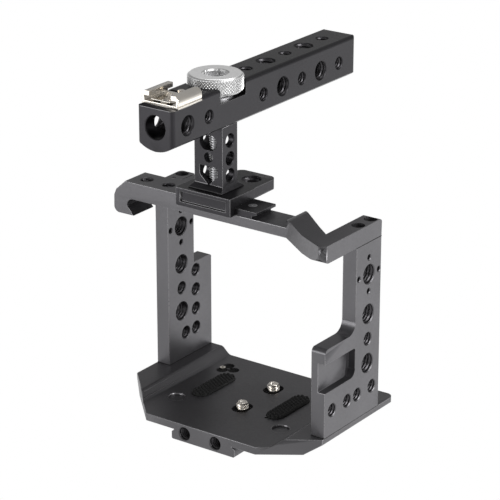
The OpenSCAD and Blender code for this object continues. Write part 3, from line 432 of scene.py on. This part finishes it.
def build_clamp_screw():
    shell = Shell()
    shell.part_of("clamp_screw", Z_HEAD, above=True)
    low = outer_thread_rows(X_HANDLE, 0.0, Z_DECK, Z_RING, ROD_D, SMALL[1], ROD_ROOT)
    high = outer_thread_rows(X_HANDLE, 0.0, Z_RING + RING_T, Z_HEAD, ROD_D, SMALL[1], ROD_ROOT)
    rows = [round_row(X_HANDLE, 0.0, 0.1, Z_DECK)] + low
    rows += [round_row(X_HANDLE, 0.0, RING_ROOT, z) for z in (Z_RING, Z_RING + RING_T)] + high
    shell.rows(rows)
    place(shell.finished("clamp_screw_body", LOOK["clamp_screw"]), "clamp_screw")


CAM_TIP = 12.7
CAM_DOME = 0.7
SOCKET_R = 1.55
SOCKET_DEEP = 1.3
SOCKET_RIM = 0.2
CORE_R = 2.6
DOME_R = 1.9
DOME_ROUND = 0.75
DOME_STEPS = 4
CAMERA_SCREW_Y = {"front_camera_screw": -12.7, "rear_camera_screw": 13.9}


def hexagon_row(x, y, corner, z, columns=THREAD_COLUMNS):
    row = []
    for i in range(columns):
        angle = TURN * i / columns
        off = angle % (TURN / 6) - TURN / 12
        r = corner * math.cos(TURN / 12) / math.cos(off)
        row.append((x + r * math.cos(angle), y + r * math.sin(angle), z))
    return row


def build_camera_screw(name, y):
    shell = Shell()
    shell.part_of(name, Z_FLOOR - 0.5, above=False)
    rows = [round_row(0.0, y, CORE_R, Z_FLOOR - 0.5)]
    rows += outer_thread_rows(0.0, y, Z_FLOOR - 0.1, CAM_TIP - CAM_DOME,
                              ROD_D, SMALL[1], ROD_ROOT, end_fade=0.25)
    for k in range(DOME_STEPS + 1):
        a = TURN / 4 * k / DOME_STEPS
        rows.append(round_row(0.0, y, DOME_R + DOME_ROUND * math.cos(a),
                              CAM_TIP - CAM_DOME * (1.0 - math.sin(a))))
    rows.append(round_row(0.0, y, SOCKET_R + SOCKET_RIM, CAM_TIP))
    rows += [hexagon_row(0.0, y, SOCKET_R, CAM_TIP - d) for d in (SOCKET_RIM, SOCKET_DEEP)]
    rows.append(round_row(0.0, y, 0.05, CAM_TIP - SOCKET_DEEP))
    shell.rows(rows)
    place(shell.finished(name + "_body", LOOK[name]), name)


build_clamp_screw()
for name, y in CAMERA_SCREW_Y.items():
    build_camera_screw(name, y)


# ---------- knurled wheel ----------
WHEEL_R = 13.7
RIM_BREAK = 1.0
WHEEL_T = 8.4
WHEEL_BORE = 3.225
BOSS_R = 7.5
Z_WHEEL = 163.35
Z_RIM = 165.55
POCKET_CORNER = 6.43
POCKET_BREAK = 0.3
KNURLS = 54
KNURL_COLUMNS = KNURLS * 6
KNURL_ROWS = 24
KNURL_DEEP = 0.7
KNURL_FLANK = 1.5
WHEEL_SHARP = 24.0
# Faces whose normal rises less than this are the knurl and the pocket's wall; they take a darker copy of the
# silver, a painted shade
STEEP = 0.75


def knurl_row(z):
    """A ring of the rim with two sets of slanting grooves."""
    pitch = TURN * WHEEL_R / KNURLS
    row = []
    for i in range(KNURL_COLUMNS):
        share = i / KNURL_COLUMNS
        peak = min(triangle(share * KNURLS + z / pitch), triangle(share * KNURLS - z / pitch))
        r = WHEEL_R - KNURL_DEEP * (1.0 - min(1.0, KNURL_FLANK * peak))
        row.append((X_HANDLE + r * math.cos(TURN * share), r * math.sin(TURN * share), z))
    return row


def build_wheel():
    def ring(r, z):
        return round_row(X_HANDLE, 0.0, r, z, KNURL_COLUMNS)

    z_top = Z_RIM + WHEEL_T
    z_low = Z_RIM + RIM_BREAK
    z_high = z_top - RIM_BREAK
    rows = [ring(WHEEL_BORE, Z_WHEEL), ring(BOSS_R - 0.3, Z_WHEEL), ring(BOSS_R, Z_WHEEL + 0.3),
            ring(BOSS_R, Z_RIM), ring(WHEEL_R - RIM_BREAK, Z_RIM),
            ring(WHEEL_R - KNURL_DEEP, z_low - 0.2)]
    rows += [knurl_row(z_low + (z_high - z_low) * k / KNURL_ROWS) for k in range(KNURL_ROWS + 1)]
    rows += [ring(WHEEL_R - KNURL_DEEP, z_high + 0.2),
             ring(WHEEL_R - RIM_BREAK - 0.1, z_top - 0.15),
             ring(WHEEL_R - RIM_BREAK - 0.35, z_top),
             ring(POCKET_CORNER + POCKET_BREAK, z_top),
             ring(POCKET_CORNER, z_top - POCKET_BREAK)]
    rows += [hexagon_row(X_HANDLE, 0.0, POCKET_CORNER, z, KNURL_COLUMNS)
             for z in (z_top - 3 * POCKET_BREAK, Z_HEAD)]
    rows += [ring(WHEEL_BORE, Z_HEAD), ring(WHEEL_BORE, Z_WHEEL)]
    shell = Shell()
    shell.rows(rows)
    body = shell.finished("thumbwheel_body", LOOK["thumbwheel"], WHEEL_SHARP)
    # The steep faces get the darker silver, a painted shade
    body.data.materials.append(SILVER_SHADED)
    for poly in body.data.polygons:
        poly.material_index = 1 if abs(poly.normal.z) < STEEP else 0
    place(body, "thumbwheel")


build_wheel()


# ---------- rubber pads ----------
PAD_L = 30.0
PAD_W = 9.5
PAD_TOP = Z_FLOOR + 1.4
PAD_LOW = Z_FLOOR - 0.8
TREAD_DEEP = 0.9
TREAD_PITCH = 2.1
PAD_ROWS = 120
PAD_COLUMNS = 32
TREAD_SLANT = 0.6
TREAD_FLANK = 1.8
PAD_X = {"left_rubber_pad": -27.0, "right_rubber_pad": 18.7}


def build_pad(name, x):
    """A pad with round ends and a tread of slanting blocks."""
    straight = (PAD_L - PAD_W) / 2
    rows = []
    for k in range(PAD_ROWS + 1):
        y = -math.cos(math.pi * k / PAD_ROWS) * PAD_L / 2
        past = min(PAD_W / 2, max(0.0, abs(y) - straight))
        half = math.sqrt(max(0.01, PAD_W * PAD_W / 4 - past * past))
        row = [(x - half, y, PAD_LOW)]
        for j in range(PAD_COLUMNS + 1):
            across = half * (2.0 * j / PAD_COLUMNS - 1.0)
            groove = min(triangle((y + TREAD_SLANT * across) / TREAD_PITCH),
                         triangle((y - TREAD_SLANT * across) / TREAD_PITCH))
            edge = 1.0 if 0 < j < PAD_COLUMNS and 0 < k < PAD_ROWS else 0.0
            lift = min(1.0, TREAD_FLANK * groove) * edge
            row.append((x + across, y, PAD_TOP - TREAD_DEEP * (1.0 - lift)))
        row.append((x + half, y, PAD_LOW))
        rows.append(row)
    shell = Shell()
    shell.rows(rows, closed=False)
    place(shell.finished(name + "_body", LOOK[name], 50.0), name)


for name, x in PAD_X.items():
    build_pad(name, x)


# ---------- rims of the round recesses, a thin band in the lighter edge colour as a painted highlight ---
RECESS_R = 4.5
RIM_W = 0.18
RIM_UP = 0.05
RECESS_X = (-33.9, 29.2)
RECESS_Y = -21.4
RECESS_COLUMNS = 48


def build_recess_rims():
    shell = Shell()
    for x in RECESS_X:
        rows = [round_row(x, RECESS_Y, r, z, RECESS_COLUMNS) for r, z in (
            (RECESS_R + RIM_W, Z_FLOOR - RIM_UP), (RECESS_R + RIM_W, Z_FLOOR + RIM_UP),
            (RECESS_R, Z_FLOOR + RIM_UP), (RECESS_R - RIM_W, Z_FLOOR - RIM_W),
            (RECESS_R - RIM_W, Z_FLOOR - 0.9))]
        shell.rows(rows)
    place(shell.finished("base_plate_recess_rim_highlight", EDGE_HIGHLIGHT, 50.0), "base_plate", replaces=False)


build_recess_rims()


# ---------- painted shade: dark strips in the joints between the plates and a dark disc on the floor of the lobed recess ---
JOINT_IN = 0.005
JOINT_UP = 0.26
# Each joint's range along X, range along Y, and level
JOINTS = {
    "right_side_plate": [(X_RIGHT - SIDE_T, X_RIGHT, 0.0, 21.4, Z_DECK),
                         (X_RIGHT - SIDE_T, X_RIGHT, -25.8, 21.4, Z_PAD)],
    "left_side_plate": [(X_LEFT, X_LEFT + SIDE_T, 0.0, 21.4, Z_DECK),
                        (X_LEFT, X_LEFT + SIDE_T, 0.0, 36.0, Z_PAD)],
}
LOBE_AT = (-33.6, 21.4)
LOBE_OUT = 3.4
LOBE_R = 2.95
LOBE_FLOOR = Z_FLOOR - 0.97


def build_joints():
    for name, places in JOINTS.items():
        shell = Shell()
        for x0, x1, y0, y1, z in places:
            corners = ((x0 + JOINT_IN, y0 + JOINT_IN), (x1 - JOINT_IN, y0 + JOINT_IN),
                       (x1 - JOINT_IN, y1 - JOINT_IN), (x0 + JOINT_IN, y1 - JOINT_IN))
            shell.rows([[(x, y, z + up) for x, y in corners] for up in (-JOINT_UP, JOINT_UP)])
        place(shell.finished(name + "_joints", SHADE), name, replaces=False)


def build_lobe_floor():
    shell = Shell()
    for k in range(3):
        x = LOBE_AT[0] + LOBE_OUT * math.cos(TURN * k / 3)
        y = LOBE_AT[1] + LOBE_OUT * math.sin(TURN * k / 3)
        shell.rows([round_row(x, y, r, LOBE_FLOOR, 32) for r in (LOBE_R, 0.05)])
    place(shell.finished("base_plate_lobe_floor_shade", SHADE), "base_plate", replaces=False)


build_joints()
build_lobe_floor()


# ---------- camera ----------
def place_camera(azimuth, elevation, roll, centre, focal_px):
    """A camera from its two angles and roll in degrees, its place in millimetres and its focal length."""
    a = math.radians(azimuth)
    e = math.radians(elevation)
    back = Vector((math.sin(a) * math.cos(e), -math.cos(a) * math.cos(e), math.sin(e)))
    turn = Matrix.Rotation(math.radians(roll), 3, back)
    right = turn @ Vector((math.cos(a), math.sin(a), 0.0))
    up = back.cross(right)
    lens = bpy.data.cameras.new("photo_camera")
    lens.sensor_width = 36.0
    lens.lens = focal_px / PHOTO_PX * lens.sensor_width
    lens.clip_start = 0.05
    lens.clip_end = 20.0
    obj = bpy.data.objects.new("photo_camera", lens)
    facing = Matrix((right, up, back)).transposed().to_4x4()
    obj.matrix_world = Matrix.Translation(Vector(centre) * MM) @ facing
    scene.collection.objects.link(obj)
    scene.camera = obj


PHOTO_PX = 500.0
place_camera(azimuth=35.65, elevation=21.01, roll=0.03, centre=(604.4, -848.9, 488.8),
             focal_px=2301.6)


# ---------- light ----------
def panel(name, spot, aim, size, power):
    """A white rectangular light, with its place and aim in metres and its power in watts."""
    lamp = bpy.data.lights.new(name, "AREA")
    lamp.shape = "RECTANGLE"
    lamp.size = size[0]
    lamp.size_y = size[1]
    lamp.energy = power
    obj = bpy.data.objects.new(name, lamp)
    way = Vector(aim) - Vector(spot)
    facing = way.to_track_quat("-Z", "Y").to_matrix().to_4x4()
    obj.matrix_world = Matrix.Translation(Vector(spot)) @ facing
    scene.collection.objects.link(obj)


MIDDLE = (0.0, 0.0, 0.08)
panel("key_right", (1.1, 0.1, 0.5), MIDDLE, (0.9, 0.9), 18.0)
panel("front_fill", (-0.6, -1.1, 0.15), MIDDLE, (1.0, 0.6), 7.5)
panel("table_bounce", (-0.7, -0.05, -0.3), (-0.06, 0.0, 0.09), (0.5, 0.5), 0.5)
panel("right_bounce", (0.75, 0.85, -0.3), MIDDLE, (0.6, 0.6), 0.7)
panel("top_soft", (0.0, 0.2, 1.3), MIDDLE, (0.8, 0.8), 4.5)

# A white table below and a dim room above light the object; the camera sees plain white
TABLE_LIGHT = 1.0
ROOM_LIGHT = 0.35
# Heights of a view direction between which the one turns into the other
HORIZON_LOW = -0.18
HORIZON_HIGH = 0.10


def build_world():
    world = bpy.data.worlds.new("studio")
    scene.world = world
    world.use_nodes = True
    tree = world.node_tree
    tree.nodes.clear()
    direction = tree.nodes.new("ShaderNodeTexCoord")
    height = tree.nodes.new("ShaderNodeSeparateXYZ")
    tree.links.new(direction.outputs["Generated"], height.inputs["Vector"])
    blend = tree.nodes.new("ShaderNodeMapRange")
    blend.interpolation_type = "SMOOTHSTEP"
    blend.inputs["From Min"].default_value = HORIZON_LOW
    blend.inputs["From Max"].default_value = HORIZON_HIGH
    blend.inputs["To Min"].default_value = TABLE_LIGHT
    blend.inputs["To Max"].default_value = ROOM_LIGHT
    tree.links.new(height.outputs["Z"], blend.inputs["Value"])
    room = tree.nodes.new("ShaderNodeBackground")
    tree.links.new(blend.outputs["Result"], room.inputs["Strength"])
    white = tree.nodes.new("ShaderNodeBackground")
    for background in (room, white):
        background.inputs["Color"].default_value = (1.0, 1.0, 1.0, 1.0)
    white.inputs["Strength"].default_value = 1.0
    path = tree.nodes.new("ShaderNodeLightPath")
    mix = tree.nodes.new("ShaderNodeMixShader")
    tree.links.new(path.outputs["Is Camera Ray"], mix.inputs["Fac"])
    tree.links.new(room.outputs["Background"], mix.inputs[1])
    tree.links.new(white.outputs["Background"], mix.inputs[2])
    out = tree.nodes.new("ShaderNodeOutputWorld")
    tree.links.new(mix.outputs["Shader"], out.inputs["Surface"])


build_world()
scene.view_settings.view_transform = "Standard"
